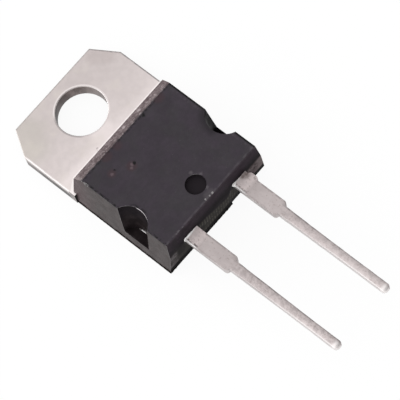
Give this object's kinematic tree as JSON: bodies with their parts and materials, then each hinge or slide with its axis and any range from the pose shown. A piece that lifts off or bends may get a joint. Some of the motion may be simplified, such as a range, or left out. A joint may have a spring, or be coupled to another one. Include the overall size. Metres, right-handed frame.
{
  "type": "schottky diode",
  "caption": "Through-hole power diode: a black moulded body on a metal screw tab with a round hole and cut corners, and flat leads that step from wide to narrow.",
  "frame": {"origin": "centre of the mounting hole, on the back face of the tab", "axes": "+Z out of the front along the hole, +Y from the hole to the free end of the tab, leads to -Y"},
  "size_m": [0.0102, 0.0288, 0.0045],
  "materials": {
    "tinned_tab": "matte tin plate on stamped copper",
    "tinned_lead": "matte tin plate on stamped copper",
    "silicon": "polished, with a metal face",
    "solder": "dull",
    "bond_wire": "drawn",
    "epoxy": "fine matte moulding, smooth in the notches"
  },
  "bodies": {
    "root": {"cathode_leadframe": "tinned_tab", "anode_lead": "tinned_lead", "schottky_die": "silicon", "die_attach_solder": "solder", "bond_wire_left": "bond_wire", "bond_wire_right": "bond_wire", "epoxy_body": "epoxy"}
  },
  "joints": []
}
